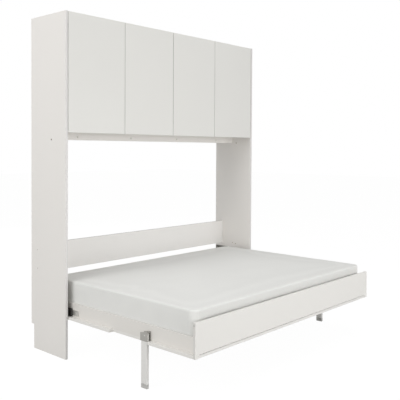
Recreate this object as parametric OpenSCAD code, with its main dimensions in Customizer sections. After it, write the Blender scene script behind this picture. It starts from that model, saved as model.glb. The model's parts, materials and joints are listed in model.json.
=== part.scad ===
// Cabinet bed: a side-tilting wall bed in a melamine board cabinet with a four-door cupboard on top.
// X runs along the wall, Y towards the wall, Z up. The bed is modelled lowered, as it is slept in.

/* [Mattress] */
// Length of the mattress, along the wall
mattress_l = 2000; // [1900:10:2200]
// Width of the mattress, from the front board to the wall side
mattress_w = 1400; // [1200:10:1600]
// Thickness of the mattress
mattress_h = 150; // [120:5:160]
// Rounding of the mattress edges
mattress_r = 35; // [20:1:50]
// Bevel of the mattress's lower edges
mattress_bevel = 8; // [5:1:15]

/* [Boards] */
// Thickness of the cabinet boards
board_t = 19; // [16:1:25]
// Thickness of the bed frame boards
bed_board_t = 18; // [16:1:22]
// Thickness of the panel under the bed, which is the front when the bed is up
decor_t = 18; // [12:1:22]
// Thickness of the doors
door_t = 19; // [16:1:22]
// Thickness of the cupboard's back
back_t = 8; // [3:1:12]

/* [Cabinet] */
// Depth of the side panels
cabinet_d = 425; // [400:5:520]
// Height of the cupboard, from the lower edge of its doors
cupboard_h = 843; // [600:1:1000]
// How far the doors reach below the cupboard floor, as a finger edge
door_drop = 8; // [0:1:15]
// Gap around each door
door_gap = 3; // [2.5:0.5:4]
// Height of the shelf above the cupboard floor
shelf_rise = 390; // [250:5:500]
// Depth of the notch for the skirting board
skirting_d = 34; // [15:1:50]
// Height of the notch for the skirting board
skirting_h = 177; // [80:1:200]
// Height of the rear board above the floor
rear_board_z = 562; // [556:1:640]
// Height of the rear board itself
rear_board_h = 216; // [160:1:300]
// Space between the rear board and the wall
rear_board_space = 69; // [50:1:72]
// Height of the stop rail under the cupboard
rail_h = 57; // [50:1:70]
// Thickness of the stop rail
rail_t = 18; // [16:1:22]
// Space between the stop rail and the raised bed
stop_space = 12; // [8:1:20]

/* [Bed frame] */
// Height of the bed's underside above the floor
bed_z = 278; // [250:1:285]
// Height of the front board
front_board_h = 209; // [190:1:215]
// Height of the side boards
side_board_h = 95; // [85:1:115]
// Height of the board at the wall side
tail_board_h = 174; // [150:1:190]
// Space between a side panel and the bed's side board, which holds the fittings
side_space = 38; // [36:1:46]
// Gap between a side panel and the panel under the bed
edge_gap = 5; // [4:0.5:8]
// How far the mattress end lies inside the side board's outer face
mattress_inset = 8; // [4:1:14]
// Space between the mattress and the front board
front_space = 42; // [38:1:60]
// Space between the mattress and the board at the wall side
rear_space = 6; // [3:1:10]
// Width of the front board's ends that cover the panel under the bed
ear_w = 38; // [34:1:60]
// How far the edge of the panel under the bed lies behind the front board's face
decor_setback = 2; // [0:0.5:6]
// Gap between the front board and the panel under the bed, between the ends
front_reveal = 3; // [1:0.5:5]

/* [Slats] */
// Number of slats
slat_count = 14; // [10:1:18]
// Width of a slat
slat_w = 68; // [50:1:80]
// Thickness of a slat
slat_t = 12; // [8:1:15]
// Thickness of the slat holders under the slats
holder_t = 3; // [2:0.5:5]
// Height of the ledgers that carry the slats
ledger_h = 40; // [30:1:45]
// Thickness of the ledgers
ledger_t = 25; // [18:1:30]

/* [Pivot and springs] */
// Height of the pivot above the floor
pivot_z = 326; // [322:1:335]
// Radius of the pivot pins
pin_r = 10; // [7:0.5:12]
// Reach of the bed behind the pivot
tail_reach = 236; // [225:1:250]
// Gap between the raised bed and the doors above it
closed_gap = 15; // [12:1:30]
// Height of the steel arm on the side board
arm_h = 36; // [30:1:40]
// Thickness of the steel arm
arm_t = 5; // [4:0.5:6]
// Reach of the arm in front of the pivot
arm_front = 123; // [100:1:160]
// Distance from the pivot to the gas spring's stud on the arm
spring_lever = 98; // [90:1:110]
// Gas spring's upper stud: distance behind the pivot
spring_back = 214; // [205:1:225]
// Gas spring's upper stud: height above the pivot
spring_rise = 189; // [180:1:195]
// Radius of the gas spring's tube
tube_r = 9.5; // [8:0.5:10]
// Radius of the gas spring's rod
rod_r = 4; // [3:0.5:5]

/* [Legs] */
// Thickness of a leg, along the wall
leg_t = 18; // [12:1:20]
// Width of a leg
leg_w = 53; // [45:1:60]
// Wall of the leg tube
leg_wall = 2; // [1.5:0.5:3]
// Distance of the leg's pivot in front of the side panels
leg_out = 777; // [600:1:850]
// Height of the leg's pivot above the floor
leg_pin_z = 330; // [328:1:340]
// How far the middle of a leg lies behind its pivot
leg_shift = 6; // [0:1:8]
// Radius of the leg's pivot
leg_pin_r = 5; // [4:0.5:7]
// Height of the plastic foot
foot_h = 28; // [15:1:40]
// Thickness of the leg bracket's sheet
bracket_t = 2.5; // [2:0.5:3]
// Length of the leg bracket
bracket_w = 62; // [56:1:70]
// Height of the leg bracket's front end above its pivot
bracket_rise = 25; // [22:1:28]
// How much lower the leg bracket is at its rear end
bracket_fall = 11; // [0:1:12]

/* [Closing bolts] */
// Radius of a closing bolt
bolt_r = 4; // [3:0.5:5]
// Height of the closing bolts above the bed's underside
bolt_rise = 172; // [150:1:180]
// Travel of a closing bolt
bolt_travel = 32; // [28:1:36]

/* [Hidden] */
$fn = 48;

white = "#e6e4df";
bed_white = "#e2e0da";
steel = "#b9bab8";
dark_steel = "#75726a";
black = "#2a2927";
beech = "#d8bf94";

// Clearances
fit = 0.05;
soft_gap = 0.3;
cut = 1;

// Places along Y and Z that follow from the sizes
pivot_y = pivot_z - bed_z;
tail_y = pivot_y + tail_reach;
mattress_y1 = tail_y - bed_board_t - rear_space;
mattress_y0 = mattress_y1 - mattress_w;
front_in_y = mattress_y0 - front_space;
front_y = front_in_y - bed_board_t;
frame_z = bed_z + decor_t;
slat_top = frame_z + side_board_h;
front_top_z = bed_z + front_board_h;
cupboard_z = pivot_z + pivot_y - front_y + closed_gap;
floor_z = cupboard_z + door_drop;
cabinet_h = cupboard_z + cupboard_h;

// Places along X
cabinet_w = mattress_l + 2 * (board_t + side_space + mattress_inset);
bed_x = board_t + edge_gap;
side_x = board_t + side_space;
side_in_x = side_x + bed_board_t;

// Rail, rear board and cupboard
raised_top_y = pivot_y + front_top_z - pivot_z;
rail_y = raised_top_y + stop_space;
bumper_gap = 0.5;
bumper_r = 6;
rear_board_t = 18;
rear_board_y = cabinet_d - rear_board_space - rear_board_t;
rear_screw_low = 35;
rear_screw_high = 44;
panel_screw_r = 4;
panel_screw_l = 60;
door_back_gap = 2;
box_y = door_t + door_back_gap;
box_w = cabinet_w - 2 * board_t;
divider_x = (cabinet_w - board_t) / 2;
bay_w = divider_x - board_t;
shelf_z = floor_z + board_t + shelf_rise;
shelf_front = 40;
shelf_play = 1;
shelf_pin_r = 2.5;
shelf_pin_in = 9;
shelf_pin_out = 9;
shelf_pin_inset = 50;

// Doors and their hinges
door_count = 4;
door_top_gap = 2;
door_w = (box_w - (door_count + 1) * door_gap) / door_count;
door_h = cupboard_h - door_top_gap;
door_edge_r = 2;
hinge_in = 4.5;
hinge_eye_r = 2.8;
hinge_eye_h = 20;
hinge_pin_r = 1.8;
hinge_pin_grip = 10;
hinge_inset = 100;
hinge_t = 2;
hinge_plate_l = 45;
hinge_plate_h = 50;
notch_h = hinge_eye_h + 1;
notch_skin = hinge_in - hinge_eye_r - 0.4;
panel_seat = -hinge_in - door_gap;
divider_seat = board_t / 2 - door_gap / 2 - hinge_in;
hinge_arm_x = max(hinge_eye_r, divider_seat);
notch_w = hinge_in + hinge_arm_x + hinge_t + 1;

// Pivot fittings
plate_t = 4;
plate_y0 = 4;
plate_l = 150;
plate_h = 96;
plate_corner = 10;
pin_end = side_x - soft_gap;
arm_x = side_x - arm_t;
arm_end = 20;
arm_corner = 6;
arm_back = spring_lever + arm_end;
cover_t = 9;
cover_x = arm_x - cover_t;
cover_front = 58;
cover_back = 34;
cover_h = 2 * (pivot_z - frame_z) - 4;
arm_screw_r = 4;
arm_screw_head_r = 7;
arm_screw_head_h = 3.5;
arm_screw_in = 23;
arm_screw_places = [arm_screw_in - arm_front, arm_back / 2];

// Gas springs, measured along the spring from its upper stud
stud_r = 4;
eye_r = 9;
eye_t = 8;
spring_x = board_t + 14;
arm_stud_r = 5;
spring_y = pivot_y + spring_back;
spring_z = pivot_z + spring_rise;
rest_dy = spring_back - spring_lever;
rest_len = sqrt(rest_dy * rest_dy + spring_rise * spring_rise);
spring_angle = -asin(rest_dy / rest_len);
tube_start = 14;
tube_cap = 8;
eye_neck = eye_r * 0.8;
tube_wall = 1.2;
tube_free = 36;
tube_end = rest_len - tube_free;
guide_l = 12;
piston_l = 8;
piston_gap = 3;

// Steel bar along the side panel that carries the spring's upper stud
spring_bar_t = 3;
spring_bar_h = 30;
spring_bar_r = 4;
spring_bar_y0 = 70;
spring_bar_y1 = cabinet_d - 10;

// Legs and brackets
leg_play = 0.5;
leg_x = bed_x + bracket_t + leg_play;
leg_y = -leg_out;
leg_front_y = leg_y + leg_shift - leg_w / 2;
leg_back = leg_shift + leg_w / 2;
leg_top = leg_pin_z + 11;
bracket_lip = 4;
bracket_y = leg_front_y - bracket_lip;
bracket_drop = 2;
bracket_z0 = frame_z - bracket_drop;
web_z = leg_pin_z + 17.5;
web_l = leg_y - (leg_top - leg_pin_z) - leg_play - bracket_y;
leg_reach = sqrt(leg_pin_z * leg_pin_z + leg_back * leg_back);
slot_play = 2;
slot_front = bracket_y - slot_play;
slot_back = leg_y + leg_reach + slot_play;

// Glides in the ends of the front board, which keep the raised bed in the middle
glide_r = 5.5;
glide_proud = 1.5;
glide_deep = 12;
glide_drop = 16;

// Closing bolts
bolt_z = bed_z + bolt_rise;
bolt_in = 15;
bolt_y = front_in_y + bolt_in;
bolt_back = 18;
bolt_tip_x = bed_x + bolt_back;
bolt_l = 78;
keep_play = 1;
housing_x = side_x + 5;
housing_l = 68;
housing_h = 30;
knob_x = housing_x + 44;
knob_r = 3;
knob_rise = 22;
keep_y = pivot_y + bolt_z - pivot_z;
keep_z = pivot_z + pivot_y - bolt_y;

// Origin on the floor, under the middle of the whole object
module place() {
    translate([-cabinet_w / 2, (-front_y - cabinet_d) / 2, 0]) children();
}

// A piece drawn for the left side, moved to the right side
module mirrored() {
    translate([cabinet_w, 0, 0]) mirror([1, 0, 0]) children();
}

// A cylinder along X
module rod_x(r, l) {
    rotate([0, 90, 0]) cylinder(r = r, h = l);
}

// A cylinder along Y
module rod_y(r, l) {
    rotate([-90, 0, 0]) cylinder(r = r, h = l);
}

// A plate in the YZ plane with round corners
module round_plate(t, l, h, r) {
    for (y = [r, l - r], z = [r, h - r]) translate([0, y, z]) rod_x(r, t);
    translate([0, r, 0]) cube([t, l - 2 * r, h]);
    translate([0, 0, r]) cube([t, l, h - 2 * r]);
}

// Holes and screws of the cabinet

module rear_screws(play) {
    for (z = [rear_board_z + rear_screw_low, rear_board_z + rear_board_h - rear_screw_high])
        translate([soft_gap - play, rear_board_y + rear_board_t / 2, z])
            rod_x(panel_screw_r + play, panel_screw_l + 2 * play);
}

// Screws of the pivot plate and of the spring's bar, flush with both
plate_screw_r = 3;
plate_screw_in = 12;
plate_screw_edge = 12;
bar_screw_side = 34;
bar_screw_places = [
    spring_bar_y0 + plate_screw_edge, spring_y - bar_screw_side,
    spring_y + bar_screw_side, spring_bar_y1 - plate_screw_edge
];

module fitting_screws(play) {
    l = plate_screw_in + plate_t;
    for (y = [plate_y0 + plate_screw_edge, plate_y0 + plate_l - plate_screw_edge], z = [-1, 1])
        translate([board_t - plate_screw_in, y, pivot_z + z * (plate_h / 2 - plate_screw_edge)])
            rod_x(plate_screw_r + play, l);
    for (y = bar_screw_places)
        translate([board_t - plate_screw_in, y, spring_z])
            rod_x(plate_screw_r + play, plate_screw_in + spring_bar_t);
}

// Spare holes for another place of the gas spring, from its stud
spare_hole_r = 4;
spare_hole_in = 10;
spare_hole_places = [[-88, 53], [-50, 59]];

module spare_holes() {
    for (p = spare_hole_places)
        translate([board_t - spare_hole_in, spring_y + p[0], spring_z + p[1]])
            rod_x(spare_hole_r, spare_hole_in + cut);
}

module shelf_pin_places(faces) {
    for (x = faces, y = [box_y + shelf_front + shelf_pin_inset, cabinet_d - back_t - shelf_pin_inset])
        translate([x, y, shelf_z - shelf_pin_r]) children();
}

module side_panel() {
    color(white) difference() {
        cube([board_t, cabinet_d, cabinet_h]);
        translate([-cut, cabinet_d - skirting_d, -cut])
            cube([board_t + 2 * cut, skirting_d + cut, skirting_h + cut]);
        translate([-cut, 0, 0]) rear_screws(fit);
        fitting_screws(fit);
        spare_holes();
        translate([-cut, keep_y, keep_z]) rod_x(bolt_r + keep_play, board_t + 2 * cut);
        shelf_pin_places([board_t - shelf_pin_in]) rod_x(shelf_pin_r + fit, shelf_pin_in + cut);
    }
}

module left_side_panel() {
    side_panel();
}

module right_side_panel() {
    mirrored() side_panel();
}

// Cupboard

module cupboard_top() {
    color(white) translate([board_t, box_y, cabinet_h - board_t])
        cube([box_w, cabinet_d - back_t - box_y, board_t]);
}

module cupboard_floor() {
    color(white) translate([board_t, box_y, floor_z])
        cube([box_w, cabinet_d - back_t - box_y, board_t]);
}

module cupboard_back() {
    color(white) translate([board_t, cabinet_d - back_t, floor_z])
        cube([box_w, back_t, cabinet_h - floor_z]);
}

module cupboard_divider() {
    color(white) difference() {
        translate([divider_x, box_y, floor_z + board_t])
            cube([board_t, cabinet_d - back_t - box_y, cabinet_h - floor_z - 2 * board_t]);
        shelf_pin_places([divider_x - cut]) rod_x(shelf_pin_r + fit, board_t + 2 * cut);
    }
}

module left_shelf() {
    color(white) translate([board_t + shelf_play, box_y + shelf_front, shelf_z])
        cube([bay_w - 2 * shelf_play, cabinet_d - back_t - box_y - shelf_front, board_t]);
}

module right_shelf() {
    mirrored() left_shelf();
}

module shelf_pins() {
    color(steel) {
        shelf_pin_places([board_t - shelf_pin_in, cabinet_w - board_t - shelf_pin_out])
            rod_x(shelf_pin_r, shelf_pin_in + shelf_pin_out);
        shelf_pin_places([divider_x - shelf_pin_out])
            rod_x(shelf_pin_r, board_t + 2 * shelf_pin_out);
    }
}

// Stop rail with its rubber bumpers, and the rear board

module stop_rail() {
    color(white) translate([board_t, rail_y, floor_z - rail_h]) cube([box_w, rail_t, rail_h]);
}

module stop_bumpers() {
    l = stop_space - bumper_gap;
    z = cupboard_z - closed_gap - bed_board_t / 2;
    color("#dcdbd6") for (k = [1:2:7])
        translate([cabinet_w * k / 8, rail_y - l, z]) rod_y(bumper_r, l);
}

module rear_board() {
    color(white) difference() {
        translate([board_t, rear_board_y, rear_board_z]) cube([box_w, rear_board_t, rear_board_h]);
        rear_screws(fit);
        mirrored() rear_screws(fit);
    }
}

// Steel angles that hold the cabinet to the wall
angle_t = 3;
angle_h = 80;
angle_leg = 40;
angle_wall_leg = 60;
angle_z = rear_board_z + (rear_board_h - angle_h) / 2;
angle_mid_z = angle_z + angle_h / 2;
wall_hole_r = 4.5;
wall_hole_x = board_t + 35;
wall_hole_pitch = 40;

module wall_bracket() {
    difference() {
        union() {
            translate([board_t, cabinet_d - angle_leg, angle_z]) cube([angle_t, angle_leg, angle_h]);
            translate([board_t, cabinet_d - angle_t, angle_z]) cube([angle_wall_leg, angle_t, angle_h]);
        }
        for (s = [-1, 1])
            translate([wall_hole_x, cabinet_d - angle_t - cut, angle_mid_z + s * wall_hole_pitch / 2])
                rod_y(wall_hole_r, angle_t + 2 * cut);
    }
}

module wall_brackets() {
    color(steel) {
        wall_bracket();
        mirrored() wall_bracket();
    }
}

module side_screws() {
    rear_screws(0);
    fitting_screws(0);
}

module panel_screws() {
    color(dark_steel) {
        side_screws();
        mirrored() side_screws();
    }
}

// Doors. The hinge axis lies inside the door, close to its outer corner.

module hinge_places() {
    for (z = [hinge_inset, door_h - hinge_inset]) translate([hinge_in, hinge_in, z]) children();
}

// The upright edges of a door are rounded, which lets it swing in a narrow gap
module door_outline() {
    for (x = [door_edge_r, door_w - door_edge_r], y = [door_edge_r, door_t - door_edge_r])
        translate([x, y]) circle(r = door_edge_r);
    translate([0, door_edge_r]) square([door_w, door_t - 2 * door_edge_r]);
    translate([door_edge_r, 0]) square([door_w - 2 * door_edge_r, door_t]);
}

module door_leaf() {
    color(white) difference() {
        linear_extrude(door_h) door_outline();
        hinge_places() {
            translate([-hinge_in - cut, notch_skin - hinge_in, -notch_h / 2])
                cube([notch_w + cut, door_t - notch_skin + cut, notch_h]);
            translate([0, 0, -notch_h / 2 - hinge_pin_grip])
                cylinder(r = hinge_pin_r + fit, h = notch_h + 2 * hinge_pin_grip);
        }
    }
}

module door_pin_pair() {
    color(steel) hinge_places() cylinder(r = hinge_pin_r, h = notch_h + 2 * hinge_pin_grip, center = true);
}

// Doors 1 and 3 hang on their left edge, doors 2 and 4 on their right edge
module at_door(n) {
    x = board_t + door_gap + (n - 1) * (door_w + door_gap);
    if (n % 2 == 1) translate([x, 0, cupboard_z]) children();
    else translate([x + door_w, 0, cupboard_z]) mirror([1, 0, 0]) children();
}

module door_1() {
    at_door(1) door_leaf();
}

module door_2() {
    at_door(2) door_leaf();
}

module door_3() {
    at_door(3) door_leaf();
}

module door_4() {
    at_door(4) door_leaf();
}

module door_1_pins() {
    at_door(1) door_pin_pair();
}

module door_2_pins() {
    at_door(2) door_pin_pair();
}

module door_3_pins() {
    at_door(3) door_pin_pair();
}

module door_4_pins() {
    at_door(4) door_pin_pair();
}

// A cranked steel arm: its eye turns on the door's pin, its plate lies on the board at seat
module hinge_arm(seat) {
    step_y = box_y - hinge_in;
    low_x = min(seat, hinge_arm_x);
    difference() {
        union() {
            cylinder(r = hinge_eye_r, h = hinge_eye_h, center = true);
            translate([0, -hinge_t / 2, -hinge_eye_h / 2])
                cube([hinge_arm_x + hinge_t, hinge_t, hinge_eye_h]);
            translate([hinge_arm_x, -hinge_t / 2, -hinge_eye_h / 2])
                cube([hinge_t, step_y + 1.5 * hinge_t, hinge_eye_h]);
            translate([low_x, step_y, -hinge_eye_h / 2])
                cube([hinge_arm_x + hinge_t - low_x, hinge_t, hinge_eye_h]);
            translate([seat, step_y, -hinge_plate_h / 2]) cube([hinge_t, hinge_plate_l, hinge_plate_h]);
        }
        cylinder(r = hinge_pin_r + fit, h = hinge_eye_h + 2 * cut, center = true);
    }
}

module door_hinge_arms() {
    color(steel) {
        for (n = [1, 4]) at_door(n) hinge_places() hinge_arm(panel_seat);
        for (n = [2, 3]) at_door(n) hinge_places() hinge_arm(divider_seat);
    }
}

// Pivot of the bed: a plate with a pin on each side panel, a steel arm on each side board

module pivot_plate() {
    color(dark_steel) difference() {
        union() {
            translate([board_t, plate_y0, pivot_z - plate_h / 2])
                round_plate(plate_t, plate_l, plate_h, plate_corner);
            translate([board_t, pivot_y, pivot_z]) rod_x(pin_r, pin_end - board_t);
        }
        fitting_screws(fit);
    }
}

module left_pivot_plate() {
    pivot_plate();
}

module right_pivot_plate() {
    mirrored() pivot_plate();
}

module arm_screw_at() {
    for (y = arm_screw_places) translate([0, pivot_y + y, pivot_z]) children();
}

module bed_arm() {
    color(steel) difference() {
        union() {
            translate([arm_x, pivot_y - arm_front, pivot_z - arm_h / 2])
                round_plate(arm_t, arm_front + arm_back, arm_h, arm_corner);
            translate([spring_x + eye_t / 2 + soft_gap, pivot_y + spring_lever, pivot_z])
                rod_x(arm_stud_r, arm_x - spring_x - eye_t / 2);
        }
        translate([arm_x - cut, pivot_y, pivot_z]) rod_x(pin_r + fit, arm_t + 2 * cut);
        arm_screw_at() translate([arm_x - cut, 0, 0]) rod_x(arm_screw_r + fit, arm_t + 2 * cut);
    }
}

module left_bed_arm() {
    bed_arm();
}

module right_bed_arm() {
    mirrored() bed_arm();
}

module arm_cover() {
    color(black) difference() {
        translate([cover_x, pivot_y - cover_front, pivot_z - cover_h / 2])
            round_plate(cover_t, cover_front + cover_back, cover_h, plate_corner);
        translate([cover_x - cut, pivot_y, pivot_z]) rod_x(pin_r + fit, cover_t + 2 * cut);
    }
}

module left_arm_cover() {
    arm_cover();
}

module right_arm_cover() {
    mirrored() arm_cover();
}

arm_screw_grip = 14;
arm_screw_l = arm_t + arm_screw_grip;

module arm_screw_set() {
    arm_screw_at() {
        translate([arm_x - arm_screw_head_h, 0, 0]) rod_x(arm_screw_head_r, arm_screw_head_h);
        translate([arm_x - cut, 0, 0]) rod_x(arm_screw_r, arm_screw_l + cut);
    }
}

module arm_screws() {
    color(dark_steel) {
        arm_screw_set();
        mirrored() arm_screw_set();
    }
}

// Gas springs

module spring_bracket() {
    color(dark_steel) difference() {
        union() {
            translate([board_t, spring_bar_y0, spring_z - spring_bar_h / 2])
                round_plate(spring_bar_t, spring_bar_y1 - spring_bar_y0, spring_bar_h, spring_bar_r);
            translate([board_t, spring_y, spring_z]) rod_x(stud_r, spring_x - board_t + eye_t / 2);
        }
        fitting_screws(fit);
    }
}

module left_spring_bracket() {
    spring_bracket();
}

module right_spring_bracket() {
    mirrored() spring_bracket();
}

// Local frame of the spring: its axis is -Z, from the upper stud down to the stud on the arm
module along_spring() {
    translate([spring_x, spring_y, spring_z]) rotate([spring_angle, 0, 0]) children();
}

// A spring is the same from both sides, so the right one is the left one moved
module to_right_spring() {
    translate([cabinet_w - 2 * spring_x, 0, 0]) children();
}

module spring_eye(bore) {
    difference() {
        translate([-eye_t / 2, 0, 0]) rod_x(eye_r, eye_t);
        translate([-eye_t / 2 - cut, 0, 0]) rod_x(bore, eye_t + 2 * cut);
    }
}

module spring_tube() {
    inner = tube_r - tube_wall;
    color("#3b3b3a") along_spring() {
        spring_eye(stud_r + fit);
        difference() {
            union() {
                translate([0, 0, -tube_end]) cylinder(r = tube_r, h = tube_end - tube_start);
                translate([0, 0, -tube_start - 1]) cylinder(r = eye_t / 2, h = tube_start + 1 - eye_neck);
            }
            translate([0, 0, -tube_end + guide_l])
                cylinder(r = inner, h = tube_end - tube_start - guide_l - tube_cap);
            translate([0, 0, -tube_end - cut]) cylinder(r = rod_r + fit, h = guide_l + 2 * cut);
        }
    }
}

module left_spring_tube() {
    spring_tube();
}

module right_spring_tube() {
    to_right_spring() spring_tube();
}

module spring_rod() {
    piston_r = tube_r - tube_wall - fit;
    piston_top = tube_start + tube_cap + piston_gap;
    color(steel) along_spring() {
        translate([0, 0, -rest_len]) spring_eye(arm_stud_r);
        translate([0, 0, -rest_len + eye_neck]) cylinder(r = rod_r, h = rest_len - eye_neck - piston_top);
        translate([0, 0, -piston_top - piston_l]) cylinder(r = piston_r, h = piston_l);
    }
}

module left_spring_rod() {
    spring_rod();
}

module right_spring_rod() {
    to_right_spring() spring_rod();
}

// Bed frame

module leg_slot() {
    translate([bed_x - cut, slot_front, bed_z - cut])
        cube([side_x - bed_x + cut, slot_back - slot_front, decor_t + 2 * cut]);
}

module decor_panel() {
    color(bed_white) difference() {
        translate([bed_x, front_y + decor_setback, bed_z])
            cube([cabinet_w - 2 * bed_x, tail_y - front_y - decor_setback, decor_t]);
        leg_slot();
        mirrored() leg_slot();
        for (x = [bed_x - cut, cabinet_w - bed_x - ear_w - soft_gap])
            translate([x, front_y - cut, bed_z - cut])
                cube([ear_w + cut + soft_gap, bed_board_t + cut + soft_gap, decor_t + 2 * cut]);
    }
}

module end_glide(play) {
    translate([bed_x - glide_proud, front_y + bed_board_t / 2 + 1, front_top_z - glide_drop])
        rod_x(glide_r + play, glide_proud + glide_deep + play);
}

module front_board() {
    color(bed_white) difference() {
        translate([bed_x, front_y, bed_z]) cube([cabinet_w - 2 * bed_x, bed_board_t, front_board_h]);
        translate([bed_x + ear_w, front_y - cut, bed_z - cut])
            cube([cabinet_w - 2 * (bed_x + ear_w), bed_board_t + 2 * cut, decor_t + front_reveal + cut]);
        end_glide(fit);
        mirrored() end_glide(fit);
    }
}

module end_glides() {
    color("#8f8c85") {
        end_glide(0);
        mirrored() end_glide(0);
    }
}

module side_board() {
    color(bed_white) difference() {
        translate([side_x, front_in_y, frame_z])
            cube([bed_board_t, tail_y - bed_board_t - front_in_y, side_board_h]);
        arm_screw_at() translate([arm_x, 0, 0]) rod_x(arm_screw_r + fit, arm_screw_l + fit);
    }
}

module left_side_board() {
    side_board();
}

module right_side_board() {
    mirrored() side_board();
}

module tail_board() {
    color(bed_white) translate([side_x, tail_y - bed_board_t, frame_z])
        cube([cabinet_w - 2 * side_x, bed_board_t, tail_board_h]);
}

frame_in_w = cabinet_w - 2 * side_in_x;
frame_in_y = tail_y - bed_board_t;
ledger_top = slat_top - slat_t - holder_t;
beam_w = 40;
beam_h = 60;

module slat_ledgers() {
    color(beech) for (y = [front_in_y, frame_in_y - ledger_t])
        translate([side_in_x, y, ledger_top - ledger_h]) cube([frame_in_w, ledger_t, ledger_h]);
}

module centre_beam() {
    color(beech) translate([side_in_x, (front_in_y + frame_in_y - beam_w) / 2, slat_top - slat_t - beam_h])
        cube([frame_in_w, beam_w, beam_h]);
}

slat_end_gap = 3;
slat_margin = 20;
slat_pitch = (frame_in_w - slat_w - 2 * slat_margin) / (slat_count - 1);
holder_wall = 3;
holder_l = 48;

function slat_x(k) = side_in_x + slat_margin + k * slat_pitch;

module slats() {
    y0 = front_in_y + slat_end_gap;
    y1 = frame_in_y - slat_end_gap;
    color(beech) for (k = [0:slat_count - 1])
        translate([slat_x(k), y0, slat_top - slat_t]) cube([slat_w, y1 - y0, slat_t]);
}

// A shallow plastic tray under each slat end
module slat_holder() {
    difference() {
        translate([-holder_wall, 0, 0]) cube([slat_w + 2 * holder_wall, holder_l, holder_t + slat_t - 2]);
        translate([0, slat_end_gap, holder_t]) cube([slat_w, holder_l, slat_t]);
    }
}

module slat_holders() {
    color(black) for (k = [0:slat_count - 1]) {
        translate([slat_x(k), front_in_y, ledger_top]) slat_holder();
        translate([slat_x(k), frame_in_y, ledger_top]) mirror([0, 1, 0]) slat_holder();
    }
}

corner_leg = 50;
corner_t = 3;
corner_gap = 2;
corner_h = ledger_top - ledger_h - frame_z - 2 * corner_gap;

module corner_angle() {
    cube([corner_leg, corner_t, corner_h]);
    cube([corner_t, corner_leg, corner_h]);
}

module corner_angles() {
    color(steel) for (m = [0, 1]) translate([m * cabinet_w, 0, 0]) mirror([m, 0, 0]) {
        translate([side_in_x, front_in_y, frame_z + corner_gap]) corner_angle();
        translate([side_in_x, frame_in_y, frame_z + corner_gap]) mirror([0, 1, 0]) corner_angle();
    }
}

module mattress_corner() {
    cylinder(r1 = mattress_r - mattress_bevel, r2 = mattress_r, h = mattress_bevel, $fn = 32);
    translate([0, 0, mattress_h - mattress_r]) sphere(r = mattress_r, $fn = 32);
}

module mattress() {
    x0 = side_x + mattress_inset + mattress_r;
    y0 = mattress_y0 + mattress_r;
    y1 = mattress_y1 - mattress_r;
    color("#dcdcd7") hull()
        for (x = [x0, cabinet_w - x0], y = [y0, y1])
            translate([x, y, slat_top + soft_gap]) mattress_corner();
}

// Legs: a flat tube that hangs in a bracket on the side board

// One cheek of the bracket, lower at its rear end
module bracket_cheek() {
    top = leg_pin_z + bracket_rise;
    rotate([90, 0, 90]) linear_extrude(bracket_t)
        polygon([[0, bracket_z0], [bracket_w, bracket_z0], [bracket_w, top - bracket_fall], [0, top]]);
}

module leg_bracket() {
    color(dark_steel) difference() {
        union() {
            for (x = [bed_x, side_x - bracket_t]) translate([x, bracket_y, 0]) bracket_cheek();
            translate([bed_x, bracket_y, web_z]) cube([side_x - bed_x, web_l, bracket_t]);
        }
        translate([bed_x - cut, leg_y, leg_pin_z]) rod_x(leg_pin_r + fit, side_x - bed_x + 2 * cut);
    }
}

module left_leg_bracket() {
    leg_bracket();
}

module right_leg_bracket() {
    mirrored() leg_bracket();
}

// The pin of a leg, with the collar that keeps the leg at the outer plate
module leg_pin() {
    collar_x = leg_x + leg_t + soft_gap;
    translate([bed_x + soft_gap, leg_y, leg_pin_z]) rod_x(leg_pin_r, side_x - bed_x - 2 * soft_gap);
    translate([collar_x, leg_y, leg_pin_z]) rod_x(leg_pin_r + 4, side_x - bracket_t - collar_x);
}

module leg_pins() {
    color(steel) {
        leg_pin();
        mirrored() leg_pin();
    }
}

module leg_tube() {
    color(steel) difference() {
        translate([leg_x, leg_front_y, foot_h]) cube([leg_t, leg_w, leg_top - foot_h]);
        translate([leg_x + leg_wall, leg_front_y + leg_wall, foot_h - cut])
            cube([leg_t - 2 * leg_wall, leg_w - 2 * leg_wall, leg_top - foot_h - leg_wall + cut]);
        translate([leg_x - cut, leg_y, leg_pin_z]) rod_x(leg_pin_r + fit, leg_t + 2 * cut);
    }
}

module left_leg() {
    leg_tube();
}

module right_leg() {
    mirrored() leg_tube();
}

// The foot closes the tube, with a plug inside it
module leg_foot() {
    plug = leg_wall + fit;
    plug_l = 20;
    color("#8f8c85") {
        translate([leg_x, leg_front_y, 0]) cube([leg_t, leg_w, foot_h]);
        translate([leg_x + plug, leg_front_y + plug, foot_h - cut])
            cube([leg_t - 2 * plug, leg_w - 2 * plug, plug_l + cut]);
    }
}

module left_leg_foot() {
    leg_foot();
}

module right_leg_foot() {
    mirrored() leg_foot();
}

// Closing bolts: they slide sideways into the side panels when the bed is up

module bolt_housing() {
    slot_l = bolt_travel + 2 * knob_r + 2;
    color(white) difference() {
        translate([housing_x, front_in_y, bolt_z - housing_h / 2])
            cube([housing_l, 2 * bolt_in, housing_h]);
        translate([housing_x - cut, bolt_y, bolt_z]) rod_x(bolt_r + fit, housing_l + 2 * cut);
        translate([knob_x + knob_r + 1 - slot_l, bolt_y - knob_r - 0.4, bolt_z])
            cube([slot_l, 2 * knob_r + 0.8, housing_h]);
    }
}

module left_bolt_housing() {
    bolt_housing();
}

module right_bolt_housing() {
    mirrored() bolt_housing();
}

module closing_bolt() {
    color(steel) {
        translate([bolt_tip_x, bolt_y, bolt_z]) rod_x(bolt_r, bolt_l);
        translate([knob_x, bolt_y, bolt_z]) cylinder(r = knob_r, h = knob_rise);
    }
}

module left_closing_bolt() {
    closing_bolt();
}

module right_closing_bolt() {
    mirrored() closing_bolt();
}

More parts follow.
